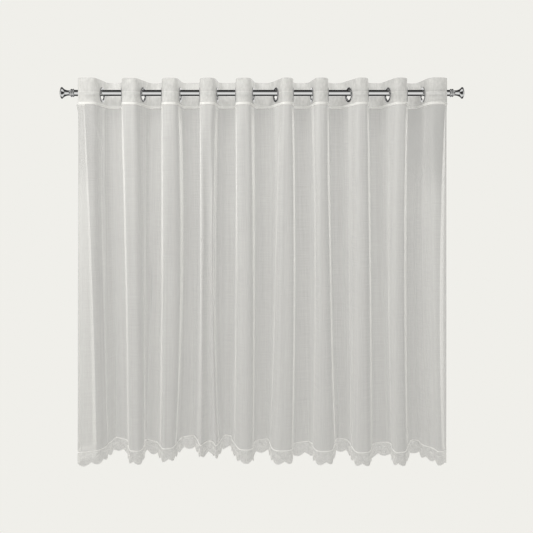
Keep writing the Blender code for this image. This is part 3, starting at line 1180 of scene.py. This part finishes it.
BACKDROP = (0.871, 0.863, 0.823)
# Painted shade: the greyer backdrop that shows only through the cloth
SHADE_BEHIND_CLOTH = (0.420, 0.415, 0.398)
AMBIENT_FRONT = 0.86
AMBIENT_BACK = 1.12
AMBIENT_LEFT = 1.24
AMBIENT_RIGHT = 0.53
LIGHT_COLOUR = (1.0, 0.988, 0.957)
GLOSS_BRIGHT = 0.92
GLOSS_DARK = 0.035
KEY_PLACE = (-1.0, -1.4, 1.1)
KEY_TARGET = (-0.1, 0.0, 0.0)
KEY_SIZE = 1.2
KEY_POWER = 42
CLOTH_LAYERS = 96


class WorldNodes(Nodes):
    """The world's nodes."""

    def between(self, amount, first, second):
        """A plain value between two."""
        node = self.new("ShaderNodeMapRange")
        node.inputs["To Min"].default_value = first
        node.inputs["To Max"].default_value = second
        self.link(amount, node.inputs["Value"])
        return node.outputs["Result"]

    def scaled(self, amount, colour):
        """A colour made brighter or darker."""
        node = self.new("ShaderNodeVectorMath")
        node.operation = "SCALE"
        node.inputs[0].default_value = colour
        self.link(amount, node.inputs["Scale"])
        return node.outputs[0]


def make_world():
    """Off-white to the eye, with painted shade behind the cloth, where the backdrop seen through
    it is greyer, and a lit room for the chrome.
    """
    world = bpy.data.worlds.new("studio")
    bpy.context.scene.world = world
    world.use_nodes = True
    nodes = WorldNodes(world.node_tree)
    path = nodes.new("ShaderNodeLightPath")
    place = nodes.new("ShaderNodeTexCoord")
    split = nodes.new("ShaderNodeSeparateXYZ")
    nodes.link(place.outputs["Generated"], split.inputs[0])
    x, y, z = split.outputs
    sideways = nodes.math("ABSOLUTE", x)
    slope = nodes.math("ABSOLUTE", z)

    front = nodes.band(y, -0.17, -0.68)
    under_top = nodes.band(z, 0.80, -0.06)
    wall = nodes.math("MULTIPLY", nodes.band(y, 0.35, 0.6), nodes.band(slope, 0.45, 0.3))
    room = nodes.math("MULTIPLY", front, under_top)
    dark_side = nodes.math(
        "MULTIPLY", nodes.band(sideways, 0.42, 0.68), nodes.band(slope, 0.46, 0.28)
    )
    sides = nodes.math("MULTIPLY", nodes.band(sideways, 0.50, 0.75), nodes.band(slope, 0.26, 0.46))
    bright = nodes.math("MAXIMUM", nodes.math("MAXIMUM", room, wall), sides)
    bright = nodes.math("MULTIPLY", bright, nodes.math("SUBTRACT", 1.0, dark_side))
    gloss = nodes.mix_colour(bright, (GLOSS_DARK,) * 3, (GLOSS_BRIGHT,) * 3)

    # Painted shade: rays that have passed through cloth see a greyer backdrop than the off-white
    # one seen directly
    through = nodes.math("GREATER_THAN", path.outputs["Transparent Depth"], 0.5)
    seen = nodes.mix_colour(through, BACKDROP, SHADE_BEHIND_CLOTH)
    soft = nodes.scaled(
        nodes.math(
            "MULTIPLY",
            nodes.between(nodes.band(y, -0.6, 0.6), AMBIENT_FRONT, AMBIENT_BACK),
            nodes.between(nodes.band(x, -0.9, 0.9), AMBIENT_LEFT, AMBIENT_RIGHT),
        ),
        LIGHT_COLOUR,
    )
    unseen = nodes.mix_colour(path.outputs["Is Glossy Ray"], soft, gloss)
    colour = nodes.mix_colour(path.outputs["Is Camera Ray"], unseen, seen)
    nodes.link(colour, nodes.tree.nodes["Background"].inputs["Color"])


def make_light(name, place, target, size, power):
    light = bpy.data.lights.new(name, "AREA")
    light.shape = "SQUARE"
    light.size = size
    light.energy = power
    light.color = LIGHT_COLOUR
    piece = bpy.data.objects.new(name, light)
    bpy.context.scene.collection.objects.link(piece)
    piece.location = place
    way = Vector(target) - Vector(place)
    piece.rotation_euler = way.to_track_quat("-Z", "Y").to_euler()
    piece.visible_glossy = False
    return piece


def make_floor():
    """A plain pale floor well below the hem."""
    half_width, front, back, z = 5.0, -6.0, 0.85, -2.2
    points = [(-half_width, front, z), (half_width, front, z), (half_width, back, z)]
    points.append((-half_width, back, z))
    shader = Shader("pale_floor", (0.58, 0.575, 0.55), 0.9)
    floor = make_object("floor", mesh_from("floor", points, [(0, 1, 2, 3)]), shader.material)
    floor.visible_glossy = False


def make_camera():
    camera = bpy.data.cameras.new("camera")
    camera.sensor_width = SENSOR
    camera.lens = FOCAL_PIXELS / FRAME_SIDE * SENSOR
    camera.shift_x = (FRAME_SIDE / 2 - CENTRE_COLUMN) / FRAME_SIDE
    camera.shift_y = (HORIZON_ROW - FRAME_SIDE / 2) / FRAME_SIDE
    piece = bpy.data.objects.new("camera", camera)
    bpy.context.scene.collection.objects.link(piece)
    piece.location = (0, -CAMERA_DISTANCE, CAMERA_HEIGHT)
    piece.rotation_euler = (math.radians(90), 0, 0)
    bpy.context.scene.camera = piece


def main():
    scene = bpy.context.scene
    scene.view_settings.view_transform = "Standard"
    scene.cycles.transparent_max_bounces = CLOTH_LAYERS
    make_world()
    make_floor()
    make_camera()
    make_light("key", KEY_PLACE, KEY_TARGET, KEY_SIZE, KEY_POWER)

    chrome = chrome_material()
    rod = make_rod(chrome)
    finials = make_finials(chrome)
    rings = make_rings(chrome)
    heading = make_heading(heading_material())
    panel = make_panel(sheer_material())
    seam = make_hem_seam(seam_material())
    cloth = LaceCloth()
    lace = make_lace_ground(cloth, lace_ground_material())
    pattern = make_lace_pattern(cloth, lace_thread_material())

    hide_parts("heading")
    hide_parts("panel")
    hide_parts("lace")
    for piece in [rod, heading, panel, seam, lace, pattern] + finials + rings:
        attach(piece, "root")
    # The photograph's chrome mirrors the studio and not the cloth
    for piece in (heading, panel, seam, lace, pattern):
        piece.visible_glossy = False


main()
